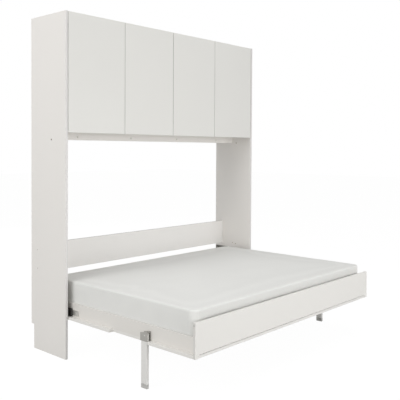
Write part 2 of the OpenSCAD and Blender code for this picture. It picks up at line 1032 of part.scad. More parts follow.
place() left_side_panel();
place() right_side_panel();
place() cupboard_top();
place() cupboard_floor();
place() cupboard_back();
place() cupboard_divider();
place() left_shelf();
place() right_shelf();
place() shelf_pins();
place() stop_rail();
place() stop_bumpers();
place() rear_board();
place() wall_brackets();
place() panel_screws();
place() door_hinge_arms();
place() left_pivot_plate();
place() right_pivot_plate();
place() left_spring_bracket();
place() right_spring_bracket();
place() door_1();
place() door_2();
place() door_3();
place() door_4();
place() door_1_pins();
place() door_2_pins();
place() door_3_pins();
place() door_4_pins();
place() decor_panel();
place() front_board();
place() end_glides();
place() left_side_board();
place() right_side_board();
place() tail_board();
place() slat_ledgers();
place() centre_beam();
place() slats();
place() slat_holders();
place() corner_angles();
place() mattress();
place() left_bed_arm();
place() right_bed_arm();
place() left_arm_cover();
place() right_arm_cover();
place() arm_screws();
place() left_leg_bracket();
place() right_leg_bracket();
place() leg_pins();
place() left_bolt_housing();
place() right_bolt_housing();
place() left_closing_bolt();
place() right_closing_bolt();
place() left_leg();
place() right_leg();
place() left_leg_foot();
place() right_leg_foot();
place() left_spring_tube();
place() right_spring_tube();
place() left_spring_rod();
place() right_spring_rod();
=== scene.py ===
"""Dresses the frame of a cabinet bed: boards, doors, fittings, slats, mattress, legs and a studio."""

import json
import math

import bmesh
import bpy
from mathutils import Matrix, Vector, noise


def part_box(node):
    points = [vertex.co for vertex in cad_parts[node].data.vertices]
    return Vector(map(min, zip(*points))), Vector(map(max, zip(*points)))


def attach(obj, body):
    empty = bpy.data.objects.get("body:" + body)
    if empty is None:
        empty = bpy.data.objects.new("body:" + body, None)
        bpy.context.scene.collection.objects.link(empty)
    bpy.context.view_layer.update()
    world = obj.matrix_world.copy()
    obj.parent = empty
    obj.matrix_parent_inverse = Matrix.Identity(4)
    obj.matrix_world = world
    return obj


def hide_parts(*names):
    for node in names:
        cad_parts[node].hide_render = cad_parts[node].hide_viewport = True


bl_info = {
    "name": "Cabinet bed",
    "version": (1, 0, 0),
    "blender": (4, 5, 0),
    "location": "3D View > Sidebar > Cabinet bed",
    "description": "Dresses the frame of a cabinet bed and sets up a plain studio",
    "category": "Object",
}

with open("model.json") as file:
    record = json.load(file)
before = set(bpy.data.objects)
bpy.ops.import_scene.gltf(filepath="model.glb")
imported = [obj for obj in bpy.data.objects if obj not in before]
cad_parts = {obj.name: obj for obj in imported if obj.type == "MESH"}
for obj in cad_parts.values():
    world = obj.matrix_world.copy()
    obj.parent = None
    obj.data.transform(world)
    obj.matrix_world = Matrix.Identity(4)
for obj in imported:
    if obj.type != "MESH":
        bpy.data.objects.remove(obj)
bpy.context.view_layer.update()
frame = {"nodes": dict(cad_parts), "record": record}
MM = 0.001

# Edges that turn by more than SHARP are bevelled, and those below SMOOTH are shaded smooth
SHARP = math.radians(40)
SMOOTH = math.radians(50)

# In a copy of a CAD mesh, points this close are one point and faces this flat are one face
MERGE = 0.002 * MM
FLAT = math.radians(0.5)

# A face or an edge is picked if it follows an axis this closely, or lies this near to a level
ALONG = 0.9
ALONG_GRID = 0.97
ALONG_SCREW = 0.99
NEAR = 1 * MM

# Boards: a face that lies deeper than this in the board's box is a cut
CUT_DEPTH = 2.5 * MM

# Boards: the order of their finishes, and their sides, each an axis and a way along it
ON_FACE, ON_BAND, ON_CUT = range(3)
REAR = (1, 1)
UNDER = (2, -1)
ENDS = {(0, -1), (0, 1)}

# Screws of the CAD model: the socket's depth and the slope of its wall
SOCKET_DEPTH = 1.6 * MM
SOCKET_SLOPE = 0.15 * MM

# Small screws: the head's sides, shares of its radius, and shares of its height
HEAD_SIDES = 24
HEAD_CHAMFER = 0.25
HEAD_FLAT = 0.3
HEAD_WALL = 0.04
HEAD_RISE = 0.3
HEAD_SOCKET = 0.6

# Hinges: their place from a door's ends, the cup in the door's back, and the plate with its screws
HINGE_INSET = 100 * MM
CUP_INSET = 31 * MM
CUP_RADIUS = 17.5 * MM
CUP_SIDES = 48
CUP_FLANGE = 1.0 * MM
CUP_RIM = 1.6 * MM
CUP_SLOPE = 0.4 * MM
CUP_DEPTH = 9 * MM
CUP_EDGE = 0.3 * MM
HINGE_SHEET = 2 * MM
PLATE_SCREW = 3.5 * MM
PLATE_SCREW_HEIGHT = 1.5 * MM
PLATE_SCREW_RISE = 16 * MM
PLATE_SCREW_BACK = 12 * MM

# Mattress: the cover above the foam, its room towards the wall, its roundings and the simulation
COVER_ABOVE = 1 * MM
WALL_ROOM = 4 * MM
CORNER_SEGMENTS = 8
TOP_SEGMENTS = 4
LOW_SEGMENTS = 2
CLOTH_STEPS = 20
CLOTH_QUALITY = 4

# Creases of the cover: a wave and a finer one, by their scale along each axis, and their fading
CREASE_WAVE = (3.1, 7.3, 9.0)
CREASE_START = 4.2
CREASE_FINE = (11.0, 5.0, 14.0)
CREASE_FINE_SHARE = 0.4
CREASE_REACH = 0.4
CREASE_LEAST = 0.25

# Studio: the floor's size and the share of white on it, and the camera's film and reach
FLOOR_SIZE = 60
FLOOR_WHITE = 0.9
SENSOR_WIDTH = 36
CLIP_END = 200

# Studio lamps: name, place, size in metres and power in watts
LAMPS = (
    ("front_low_lamp", (-1.0, -6.0, 0.9), 3.0, 105),
    ("front_right_low_lamp", (3.0, -6.0, 1.0), 3.0, 60),
    ("front_lamp", (-0.5, -6.5, 2.6), 4.0, 60),
    ("left_high_lamp", (-5.5, 0.0, 5.0), 4.0, 126),
    ("left_lamp", (-6.5, -0.5, 2.0), 4.0, 80),
    ("top_lamp", (0.0, -1.0, 6.5), 5.0, 68),
    ("back_lamp", (0.8, 6.5, 3.0), 4.0, 120),
)
LAMP_TARGET = Vector((0, 0, 0.9))


def linear(code):
    """The linear colour of a web colour such as #e4e3de."""
    parts = [int(code[i:i + 2], 16) / 255 for i in (1, 3, 5)]
    return tuple(c / 12.92 if c < 0.04045 else ((c + 0.055) / 1.055) ** 2.4 for c in parts)


def colour(name, text, code):
    """A colour that the user can change."""
    return bpy.props.FloatVectorProperty(
        name=name, description=text, subtype="COLOR", size=3, min=0, max=1, default=linear(code))


def length(name, text, default):
    """A length that the user can change, in metres."""
    return bpy.props.FloatProperty(name=name, description=text, unit="LENGTH", default=default)


def angle(name, text, default):
    """An angle that the user can change, in radians."""
    return bpy.props.FloatProperty(name=name, description=text, subtype="ANGLE", default=default)


def value(name, text, default):
    """A plain number that the user can change."""
    return bpy.props.FloatProperty(name=name, description=text, default=default)


class CabinetBedBoards(bpy.types.PropertyGroup):
    edge_radius: length("Edge radius", "Rounding of a board's edges", 1.0 * MM)
    panel: colour("Panels", "Face of the cabinet's boards", "#e7e4e0")
    door: colour("Doors", "Face of the doors", "#e2e1dd")
    bed: colour("Bed boards", "Face of the bed's boards", "#e6e4e0")
    # Darker than the bed's other boards: painted shade, as the side boards sit low and catch less light
    # near the floor
    side: colour("Side boards", "Face of the bed's side boards", "#dfdcd7")
    # Darker than the door faces: painted shade of the narrow gaps between the doors
    door_edge: colour("Door edges", "Edge band of the doors", "#c9c8c3")
    front_edge: colour("Front edges", "Edge band of the cabinet's boards", "#dcdad8")
    # Lighter than the panels: painted light that brightens the rear board in the dim niche under the
    # cupboard
    rear: colour("Rear board", "Face of the rear board", "#ebe9e6")
    # A dark grey band: painted shade, standing for the thin dark line under the cupboard along the rear
    # board's top edge
    rear_edge_shade: colour("Rear board's edge", "Edge band on top of the rear board", "#b4b3af")
    # Darker than the other bands: painted shade on the ends of the front board
    end: colour("Board ends", "Edge band on the ends of the front board", "#d5d3cf")
    core: colour("Core", "Chipboard where an edge is left raw", "#a58b68")
    back: colour("Hardboard", "Rear face of the cupboard's back", "#a98e6c")
    slat: colour("Slats", "Wood of the slats and their beams", "#d9bf93")


class CabinetBedMattress(bpy.types.PropertyGroup):
    cover: colour("Cover", "Colour of the mattress cover", "#e5e5e2")
    pressure: value("Pressure", "Swelling of the foam", 4.0)
    swell: length("Swell", "The furthest that a point may move", 4 * MM)
    grid: length("Grid", "Size of the mattress mesh's faces", 22 * MM)
    crease: length("Crease", "Depth of the cover's soft creases", 1.2 * MM)
    proud: length("Proud", "How far the cover stands outside the foam at its ends", 3 * MM)
    front: length("Front", "How far the cover stands outside the foam towards the front board", 18 * MM)
    corner: length("Corners", "Rounding of the corners, seen from above", 48 * MM)
    top_round: length("Upper rounding", "Rounding of the upper edges", 12 * MM)
    low_round: length("Lower rounding", "Rounding of the lower edges", 1.5 * MM)


class CabinetBedFittings(bpy.types.PropertyGroup):
    zinc: colour("Zinc", "Zinc plated steel", "#c6c5c1")
    grey: colour("Grey steel", "Painted steel of plates and brackets", "#a4a29d")
    # Real blackened steel, whose dark tone also stands for the shade in the gap between the mattress and
    # the side panels: partly painted shade
    dark: colour("Dark steel", "Blackened steel of the springs' bars", "#57554f")
    leg: colour("Legs", "Powder coat of the legs", "#dfdedb")
    foot: colour("Feet", "Plastic of the feet", "#bebdba")
    black: colour("Black", "Black plastic", "#2e2d2b")
    tube: colour("Spring tube", "Paint of the gas springs", "#2c2c2c")
    chrome: colour("Rod", "Polished rod of the gas springs", "#d2d3d4")
    rubber: colour("Buffer", "Rubber of the buffers", "#e4e3de")
    nylon: colour("Nylon", "White plastic of the bolt housings", "#e6e5e1")


class CabinetBedStudio(bpy.types.PropertyGroup):
    place: bpy.props.FloatVectorProperty(
        name="Camera", description="Place of the camera", subtype="TRANSLATION", size=3,
        default=(-3.5932, -3.1270, 1.4687))
    yaw: angle("Yaw", "Turn to the right", 0.82641)
    pitch: angle("Pitch", "Tilt up", -0.02272)
    roll: angle("Roll", "Lean of the view", 0.00489)
    lens: value("Lens", "Focal length in millimetres", 55.05)
    shift: bpy.props.FloatVectorProperty(
        name="Shift", description="Shift of the lens", size=2, default=(0.0215, -0.0895))
    sky: value("Sky", "Strength of the light from all round", 0.40)
    floor: colour("Floor", "Paint of the floor", "#b8b8b6")
    seen: value("Floor's white", "White that the camera sees there", 1.08)


class CabinetBedSettings(bpy.types.PropertyGroup):
    boards: bpy.props.PointerProperty(type=CabinetBedBoards)
    mattress: bpy.props.PointerProperty(type=CabinetBedMattress)
    fittings: bpy.props.PointerProperty(type=CabinetBedFittings)
    studio: bpy.props.PointerProperty(type=CabinetBedStudio)


def settings():
    """What the user can change, with its present values."""
    return bpy.context.scene.cabinet_bed


# Shader nodes, and a node group for each effect that several finishes share

def new_group(name, inputs, outputs):
    """An empty node group with these sockets, and its input and output nodes."""
    group = bpy.data.node_groups.new(name, "ShaderNodeTree")
    for label, kind, default in inputs:
        socket = group.interface.new_socket(name=label, in_out="INPUT", socket_type=kind)
        socket.default_value = default
    for label, kind in outputs:
        group.interface.new_socket(name=label, in_out="OUTPUT", socket_type=kind)
    return group, group.nodes.new("NodeGroupInput"), group.nodes.new("NodeGroupOutput")


def math_node(tree, operation, a, b=None, c=None):
    """A Math node; a, b and c are sockets or numbers. Returns its output."""
    node = tree.nodes.new("ShaderNodeMath")
    node.operation = operation
    for i, given in enumerate((a, b, c)):
        if given is None:
            continue
        if isinstance(given, (int, float)):
            node.inputs[i].default_value = given
        else:
            tree.links.new(given, node.inputs[i])
    return node.outputs[0]


def noise_node(tree, vector, scale, detail, roughness=0.5):
    """A Noise Texture node; scale is a socket or a number. Returns its output."""
    node = tree.nodes.new("ShaderNodeTexNoise")
    tree.links.new(vector, node.inputs["Vector"])
    if isinstance(scale, (int, float)):
        node.inputs["Scale"].default_value = scale
    else:
        tree.links.new(scale, node.inputs["Scale"])
    node.inputs["Detail"].default_value = detail
    node.inputs["Roughness"].default_value = roughness
    return node.outputs["Fac"]


def mix_colours(tree, factor, a, b, blend="MIX"):
    """A colour Mix node; factor, a and b are sockets, and b may be a colour. Returns its output."""
    node = tree.nodes.new("ShaderNodeMix")
    node.data_type = "RGBA"
    node.blend_type = blend
    for socket, given in ((node.inputs[0], factor), (node.inputs[6], a), (node.inputs[7], b)):
        if isinstance(given, tuple):
            socket.default_value = (*given, 1)
        else:
            tree.links.new(given, socket)
    return node.outputs[2]


def seen_by_eye(tree):
    """1 for what the camera sees, directly, in a gloss or through glass, and 0 for other light."""
    rays = tree.nodes.new("ShaderNodeLightPath").outputs
    direct_or_gloss = math_node(tree, "MAXIMUM", rays["Is Camera Ray"], rays["Is Glossy Ray"])
    return math_node(tree, "MAXIMUM", direct_or_gloss, rays["Is Transmission Ray"])


def tone_group():
    """Slow changes of tone over a surface, with a fine grain for its height."""
    group, source, sink = new_group(
        "surface_tone",
        [("Vector", "NodeSocketVector", (0, 0, 0)), ("Color", "NodeSocketColor", (1, 1, 1, 1)),
         ("Amount", "NodeSocketFloat", 0.03), ("Scale", "NodeSocketFloat", 2.0),
         ("Grain", "NodeSocketFloat", 700.0), ("Roughness", "NodeSocketFloat", 0.4),
         ("Spread", "NodeSocketFloat", 0.06)],
        [("Color", "NodeSocketColor"), ("Roughness", "NodeSocketFloat"), ("Height", "NodeSocketFloat")])
    given = source.outputs
    slow = noise_node(group, given["Vector"], given["Scale"], detail=3.0)
    fine = noise_node(group, given["Vector"], given["Grain"], detail=2.0)
    centred = math_node(group, "SUBTRACT", slow, 0.5)
    change = math_node(group, "MULTIPLY_ADD", centred, given["Amount"], 1.0)
    scaled = group.nodes.new("ShaderNodeVectorMath")
    scaled.operation = "SCALE"
    group.links.new(given["Color"], scaled.inputs[0])
    group.links.new(change, scaled.inputs["Scale"])
    rough = math_node(group, "MULTIPLY_ADD", centred, given["Spread"], given["Roughness"])
    group.links.new(scaled.outputs[0], sink.inputs["Color"])
    group.links.new(rough, sink.inputs["Roughness"])
    group.links.new(fine, sink.inputs["Height"])
    return group


def chip_group():
    """Pressed wood chips, as a raw board edge shows them."""
    group, source, sink = new_group(
        "wood_chips",
        [("Vector", "NodeSocketVector", (0, 0, 0)), ("Light", "NodeSocketColor", (1, 1, 1, 1)),
         ("Dark", "NodeSocketColor", (0, 0, 0, 1)), ("Scale", "NodeSocketFloat", 420.0)],
        [("Color", "NodeSocketColor"), ("Height", "NodeSocketFloat")])
    given = source.outputs
    chips = group.nodes.new("ShaderNodeTexVoronoi")
    group.links.new(given["Vector"], chips.inputs["Vector"])
    group.links.new(given["Scale"], chips.inputs["Scale"])
    split = group.nodes.new("ShaderNodeSeparateColor")
    group.links.new(chips.outputs["Color"], split.inputs[0])
    tone = mix_colours(group, split.outputs[0], given["Light"], given["Dark"])
    group.links.new(tone, sink.inputs["Color"])
    group.links.new(split.outputs[1], sink.inputs["Height"])
    return group


def grain_group():
    """Wood grain: long streaks with pores along them."""
    group, source, sink = new_group(
        "wood_grain",
        [("Vector", "NodeSocketVector", (0, 0, 0)), ("Light", "NodeSocketColor", (1, 1, 1, 1)),
         ("Dark", "NodeSocketColor", (0, 0, 0, 1)), ("Contrast", "NodeSocketFloat", 0.5)],
        [("Color", "NodeSocketColor"), ("Roughness", "NodeSocketFloat"), ("Height", "NodeSocketFloat")])
    given = source.outputs
    broad = noise_node(group, given["Vector"], scale=22.0, detail=4.0, roughness=0.6)
    pores = noise_node(group, given["Vector"], scale=190.0, detail=2.0, roughness=0.7)
    broad_share = math_node(group, "MULTIPLY", broad, 0.55)
    streak = math_node(group, "MULTIPLY_ADD", pores, 0.45, broad_share)
    centred = math_node(group, "SUBTRACT", streak, 0.5)
    factor = math_node(group, "MULTIPLY_ADD", centred, given["Contrast"], 0.5)
    tone = mix_colours(group, factor, given["Light"], given["Dark"])
    rough = math_node(group, "MULTIPLY_ADD", pores, 0.2, 0.4)
    group.links.new(tone, sink.inputs["Color"])
    group.links.new(rough, sink.inputs["Roughness"])
    group.links.new(pores, sink.inputs["Height"])
    return group


def weave_group():
    """A fine knit: rows of loops on every side of a box-like piece, with a little fuzz."""
    group, source, sink = new_group(
        "knit",
        [("Vector", "NodeSocketVector", (0, 0, 0)), ("Color", "NodeSocketColor", (1, 1, 1, 1)),
         ("Pitch", "NodeSocketFloat", 0.0022), ("Depth", "NodeSocketFloat", 0.05)],
        [("Color", "NodeSocketColor"), ("Height", "NodeSocketFloat")])
    given = source.outputs
    split = group.nodes.new("ShaderNodeSeparateXYZ")
    group.links.new(given["Vector"], split.inputs[0])
    turns = math_node(group, "DIVIDE", 2 * math.pi, given["Pitch"])
    loops = None
    for axis, rows in enumerate((1.0, 0.6, 1.0)):
        phase = math_node(group, "MULTIPLY", split.outputs[axis], turns)
        wave = math_node(group, "SINE", math_node(group, "MULTIPLY", phase, rows))
        loops = wave if loops is None else math_node(group, "ADD", loops, wave)
    fuzz = noise_node(group, given["Vector"], scale=260.0, detail=2.0)
    fuzz_share = math_node(group, "MULTIPLY", fuzz, 0.8)
    height = math_node(group, "MULTIPLY_ADD", loops, 0.17, fuzz_share)
    factor = math_node(group, "MULTIPLY", height, given["Depth"])
    shade = mix_colours(group, factor, given["Color"], (0.25, 0.25, 0.24), "MULTIPLY")
    group.links.new(shade, sink.inputs["Color"])
    group.links.new(height, sink.inputs["Height"])
    return group


EFFECTS = {"tone": tone_group, "chips": chip_group, "grain": grain_group, "weave": weave_group}
GROUPS = {}


def effect(name):
    """The node group of that effect, built the first time."""
    if name not in GROUPS:
        GROUPS[name] = EFFECTS[name]()
    return GROUPS[name]


# Materials

def start_material(name, roughness, metallic=0.0, stretch=(1, 1, 1)):
    """A material with a Principled BSDF. Returns it, its tree, its shader and Object coordinates."""
    mat = bpy.data.materials.new(name)
    mat.use_nodes = True
    tree = mat.node_tree
    tree.nodes.clear()
    sink = tree.nodes.new("ShaderNodeOutputMaterial")
    shader = tree.nodes.new("ShaderNodeBsdfPrincipled")
    shader.inputs["Roughness"].default_value = roughness
    shader.inputs["Metallic"].default_value = metallic
    tree.links.new(shader.outputs[0], sink.inputs[0])
    place = tree.nodes.new("ShaderNodeTexCoord")
    mapping = tree.nodes.new("ShaderNodeMapping")
    mapping.inputs["Scale"].default_value = stretch
    tree.links.new(place.outputs["Object"], mapping.inputs["Vector"])
    return mat, tree, shader, mapping.outputs[0]


def add_effect(tree, name, vector, **values):
    """Places an effect's node group in a material, with its own values."""
    node = tree.nodes.new("ShaderNodeGroup")
    node.node_tree = effect(name)
    tree.links.new(vector, node.inputs["Vector"])
    for label, given in values.items():
        node.inputs[label].default_value = (*given, 1) if isinstance(given, tuple) else given
    return node


def add_bump(tree, shader, height, distance, strength):
    """Lets a height shape the shader's normal."""
    bump = tree.nodes.new("ShaderNodeBump")
    bump.inputs["Distance"].default_value = distance
    bump.inputs["Strength"].default_value = strength
    tree.links.new(height, bump.inputs["Height"])
    tree.links.new(bump.outputs[0], shader.inputs["Normal"])


def plain_finish(name, tint, rough, spread=0.06, amount=0.04, scale=2.0, grain=700.0,
                 bump=0.02 * MM, strength=0.3, metallic=0.0, coat=0.0, dim=1.0):
    """A coated, moulded or plated surface: one tone that drifts slightly, with a fine grain."""
    mat, tree, shader, vector = start_material(name, rough, metallic)
    tone = add_effect(tree, "tone", vector, Color=tuple(c * dim for c in tint), Amount=amount,
                      Scale=scale, Grain=grain, Roughness=rough, Spread=spread)
    tree.links.new(tone.outputs["Color"], shader.inputs["Base Color"])
    tree.links.new(tone.outputs["Roughness"], shader.inputs["Roughness"])
    shader.inputs["Coat Weight"].default_value = coat
    add_bump(tree, shader, tone.outputs["Height"], bump, strength)
    return mat


def chip_finish(name, tint):
    """Raw chipboard, whose dark chips have half the tint."""
    mat, tree, shader, vector = start_material(name, roughness=0.85)
    dark = tuple(c * 0.5 for c in tint)
    chips = add_effect(tree, "chips", vector, Light=tuple(tint), Dark=dark)
    tree.links.new(chips.outputs["Color"], shader.inputs["Base Color"])
    add_bump(tree, shader, chips.outputs["Height"], distance=0.2 * MM, strength=0.6)
    return mat


def wood_finish(name, tint, stretch):
    """Lacquered wood with its grain along the axis that stretch makes short, and browner streaks."""
    mat, tree, shader, vector = start_material(name, roughness=0.45, stretch=stretch)
    dark = tuple(c * f for c, f in zip(tint, (0.72, 0.62, 0.5)))
    grain = add_effect(tree, "grain", vector, Light=tuple(tint), Dark=dark, Contrast=1.6)
    tree.links.new(grain.outputs["Color"], shader.inputs["Base Color"])
    tree.links.new(grain.outputs["Roughness"], shader.inputs["Roughness"])
    add_bump(tree, shader, grain.outputs["Height"], distance=0.08 * MM, strength=0.4)
    return mat


def cover_finish(name, tint):
    """The knitted mattress cover."""
    mat, tree, shader, vector = start_material(name, roughness=0.92)
    shader.inputs["Sheen Weight"].default_value = 0.15
    shader.inputs["Specular IOR Level"].default_value = 0.25
    tone = add_effect(tree, "tone", vector, Color=tuple(tint), Amount=0.035, Scale=2.4, Grain=160.0,
                      Roughness=0.92, Spread=0.04)
    knit = add_effect(tree, "weave", vector, Pitch=2.4 * MM, Depth=0.12)
    tree.links.new(tone.outputs["Color"], knit.inputs["Color"])
    tree.links.new(knit.outputs["Color"], shader.inputs["Base Color"])
    add_bump(tree, shader, knit.outputs["Height"], distance=0.25 * MM, strength=0.5)
    return mat


# Finishes: how each is made, the setting that holds its colour, and its own values
FACE = dict(rough=0.42, amount=0.02, coat=0.05)
BAND = dict(rough=0.36, amount=0.02)
RECIPES = {
    "panel_face": (plain_finish, "boards", "panel", FACE),
    "panel_band": (plain_finish, "boards", "front_edge", BAND),
    "door_face": (plain_finish, "boards", "door", FACE),
    # The doors' bands carry painted shade of the gaps between the doors
    "door_band": (plain_finish, "boards", "door_edge", BAND),
    # The rear board's face is a lighter copy of the boards' white: painted light
    "rear_face": (plain_finish, "boards", "rear", FACE),
    # The rear board's edge band is dark with painted shade
    "rear_band": (plain_finish, "boards", "rear_edge_shade", BAND),
    # The side boards' faces are a shaded copy of the bed boards' white: painted shade
    "side_face": (plain_finish, "boards", "side", FACE),
    "bed_face": (plain_finish, "boards", "bed", FACE),
    "bed_band": (plain_finish, "boards", "bed", dict(BAND, dim=0.985)),
    # The front board's end bands are darker with painted shade
    "end_band": (plain_finish, "boards", "end", dict(rough=0.4, amount=0.02)),
    "raw_core": (chip_finish, "boards", "core", {}),
    "hardboard": (plain_finish, "boards", "back", dict(
        rough=0.7, amount=0.12, scale=9.0, grain=260.0, bump=0.08 * MM, strength=0.6)),
    "slat_along_y": (wood_finish, "boards", "slat", dict(stretch=(1, 0.06, 1))),
    "beam_along_x": (wood_finish, "boards", "slat", dict(stretch=(0.06, 1, 1))),
    "cover": (cover_finish, "mattress", "cover", {}),
    "zinc": (plain_finish, "fittings", "zinc", dict(
        rough=0.36, spread=0.22, amount=0.12, scale=60.0, grain=900.0, metallic=0.85)),
    "grey_steel": (plain_finish, "fittings", "grey", dict(
        rough=0.45, spread=0.12, amount=0.08, scale=40.0, grain=800.0, metallic=0.35)),
    # Dark steel, partly painted shade of the gap beside the mattress
    "dark_steel": (plain_finish, "fittings", "dark", dict(
        rough=0.5, spread=0.12, amount=0.08, scale=40.0, grain=800.0, metallic=0.2)),
    "leg_coat": (plain_finish, "fittings", "leg", dict(
        rough=0.4, spread=0.08, amount=0.04, scale=20.0, grain=1100.0,
        bump=0.03 * MM, strength=0.4, metallic=0.1)),
    "foot_plastic": (plain_finish, "fittings", "foot", dict(
        rough=0.6, spread=0.1, amount=0.05, scale=30.0, grain=900.0)),
    "black_plastic": (plain_finish, "fittings", "black", dict(
        rough=0.5, spread=0.12, amount=0.1, scale=30.0, grain=1000.0, bump=0.05 * MM, strength=0.5)),
    "spring_paint": (plain_finish, "fittings", "tube", dict(
        rough=0.32, spread=0.08, amount=0.06, scale=30.0, grain=900.0, coat=0.4)),
    "rod_chrome": (plain_finish, "fittings", "chrome", dict(
        rough=0.14, spread=0.05, amount=0.02, scale=30.0, grain=900.0, metallic=1.0)),
    "buffer": (plain_finish, "fittings", "rubber", dict(
        rough=0.6, spread=0.1, amount=0.04, scale=30.0, grain=700.0)),
    "nylon": (plain_finish, "fittings", "nylon", dict(
        rough=0.5, spread=0.08, amount=0.03, scale=20.0, grain=800.0)),
}
FINISHES = {}


def finish(name):
    """The material of that name, built the first time."""
    if name not in FINISHES:
        maker, group, tint, values = RECIPES[name]
        FINISHES[name] = maker(name, getattr(getattr(settings(), group), tint), **values)
    return FINISHES[name]


# Modelling helpers

def pick(obj):
    """Makes obj the only selected and active object."""
    if bpy.context.mode != "OBJECT":
        bpy.ops.object.mode_set(mode="OBJECT")
    bpy.ops.object.select_all(action="DESELECT")
    obj.select_set(True)
    bpy.context.view_layer.objects.active = obj


def settle(obj):
    """Applies the object's place, turn and scale, so that it sits at the origin."""
    pick(obj)
    bpy.ops.object.transform_apply(location=True, rotation=True, scale=True)


def bake_modifiers(obj):
    """Applies the object's modifiers in their order."""
    pick(obj)
    for modifier in list(obj.modifiers):
        bpy.ops.object.modifier_apply(modifier=modifier.name)


def smooth_faces(obj):
    """Shades the rounded edges smooth and keeps the flat faces flat."""
    pick(obj)
    bpy.ops.object.shade_smooth_by_angle(angle=SMOOTH)
    weights = obj.modifiers.new("normals", "WEIGHTED_NORMAL")
    weights.keep_sharp = True
    bake_modifiers(obj)


def round_edges(obj, radius, segments=2):
    """Bevels the sharp edges."""
    bevel = obj.modifiers.new("edges", "BEVEL")
    bevel.width = radius
    bevel.segments = segments
    bevel.limit_method = "ANGLE"
    bevel.angle_limit = SHARP
    bevel.use_clamp_overlap = False
    bake_modifiers(obj)
    smooth_faces(obj)


def enter_edit(obj, kind):
    """Enters edit mode with nothing selected, and returns the mesh."""
    pick(obj)
    bpy.ops.object.mode_set(mode="EDIT")
    bpy.ops.mesh.select_mode(type=kind)
    bpy.ops.mesh.select_all(action="DESELECT")
    return bmesh.from_edit_mesh(obj.data)


def leave_edit():
    """Goes back to object mode."""
    bpy.ops.object.mode_set(mode="OBJECT")


def select_faces(obj, keep):
    """Enters edit mode with the faces selected whose normal keep(normal) accepts."""
    cage = enter_edit(obj, "FACE")
    for face in cage.faces:
        face.select_set(bool(keep(face.normal)))
    cage.select_flush_mode()
    bmesh.update_edit_mesh(obj.data)


def bevel_edges(obj, radius, segments, keep):
    """Bevels the sharp edges whose middle and direction keep(middle, way) accepts."""
    cage = enter_edit(obj, "EDGE")
    for edge in cage.edges:
        if len(edge.link_faces) == 2 and edge.calc_face_angle() > SHARP:
            one, two = edge.verts
            edge.select_set(bool(keep((one.co + two.co) / 2, (two.co - one.co).normalized())))
    bmesh.update_edit_mesh(obj.data)
    bpy.ops.mesh.bevel(offset=radius, segments=segments, affect="EDGES", clamp_overlap=False)
    leave_edit()


def sink_sockets(obj, rim):
    """Sinks a socket into each screw head, which all face along X, and leaves a rim round it."""
    select_faces(obj, lambda normal: abs(normal.x) > ALONG_SCREW)
    bpy.ops.mesh.inset(thickness=rim, depth=0, use_individual=True)
    bpy.ops.mesh.inset(thickness=SOCKET_SLOPE, depth=-SOCKET_DEPTH, use_individual=True)
    leave_edit()


def copy_node(node, name):
    """A merged copy of a CAD node's mesh, as an object of its own at the origin."""
    mesh = frame["nodes"][node].data.copy()
    mesh.materials.clear()
    obj = bpy.data.objects.new(name, mesh)
    bpy.context.scene.collection.objects.link(obj)
    pick(obj)
    bpy.ops.object.mode_set(mode="EDIT")
    bpy.ops.mesh.select_all(action="SELECT")
    bpy.ops.mesh.remove_doubles(threshold=MERGE)
    bpy.ops.mesh.dissolve_limited(angle_limit=FLAT)
    bpy.ops.mesh.normals_make_consistent(inside=False)
    leave_edit()
    return obj


def body_of_node(node):
    """The body that a CAD node rides on."""
    for body, nodes in frame["record"]["behaviour"]["bodies"].items():
        if node in nodes:
            return body
    raise ValueError(node + " rides on no body")


def stand_for(obj, node):
    """Puts obj on the body that a CAD node rides on, and hides that node."""
    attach(obj, body_of_node(node))
    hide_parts(node)


def add_detail(obj, body, material):
    """Puts an extra piece on a body and its finish."""
    settle(obj)
    obj.data.materials.clear()
    obj.data.materials.append(finish(material))
    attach(obj, body)


def fitting(node, name, material, radius, segments=2, rim=0):
    """A CAD fitting with its edges rounded and its finish on; a rim gives its screws sockets."""
    obj = copy_node(node, name)
    obj.data.materials.append(finish(material))
    if rim:
        sink_sockets(obj, rim)
    round_edges(obj, radius, segments)
    stand_for(obj, node)


def board(node, name, face, band, raw_sides=(), cuts="raw_core"):
    """A board with rounded, banded edges; its cuts and raw_sides have a finish of their own."""
    obj = copy_node(node, name)
    low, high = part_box(node)
    size = [high[i] - low[i] for i in range(3)]
    thin = size.index(min(size))
    for material in (face, band, cuts):
        obj.data.materials.append(finish(material))
    for polygon in obj.data.polygons:
        axis = max(range(3), key=lambda i: abs(polygon.normal[i]))
        sign = 1 if polygon.normal[axis] > 0 else -1
        edge = (high if sign > 0 else low)[axis]
        outside = abs(polygon.center[axis] - edge) < CUT_DEPTH
        if axis == thin and outside:
            polygon.material_index = ON_FACE
        elif not outside or (axis, sign) in raw_sides:
            polygon.material_index = ON_CUT
        else:
            polygon.material_index = ON_BAND
    round_edges(obj, settings().boards.edge_radius)
    stand_for(obj, node)
    return obj


def screw_head(name, place, axis, radius, height, body):
    """A screw's low head with its socket, standing on place along axis."""
    bpy.ops.mesh.primitive_cylinder_add(vertices=HEAD_SIDES, radius=radius, depth=height)
    obj = bpy.context.object
    obj.name = name
    select_faces(obj, lambda normal: normal.z > ALONG)
    bpy.ops.mesh.inset(thickness=radius * HEAD_CHAMFER, depth=height * HEAD_RISE)
    bpy.ops.mesh.inset(thickness=radius * HEAD_FLAT, depth=0)
    bpy.ops.mesh.inset(thickness=radius * HEAD_WALL, depth=-height * HEAD_SOCKET)
    leave_edit()
    turn = Vector(axis).to_track_quat("Z", "Y").to_matrix().to_4x4()
    obj.matrix_world = Matrix.Translation(Vector(place) + Vector(axis) * height / 2) @ turn
    add_detail(obj, body, "zinc")
    smooth_faces(obj)


def ripple(place, scale, start=0.0):
    """Noise at a place, with its own scale along each axis."""
    return noise.noise(Vector((place.x * scale[0], place.y * scale[1], place.z * scale[2] + start)))


# Each operator makes a piece or a group of like pieces, on both sides of the bed
SIDES = ("left", "right")


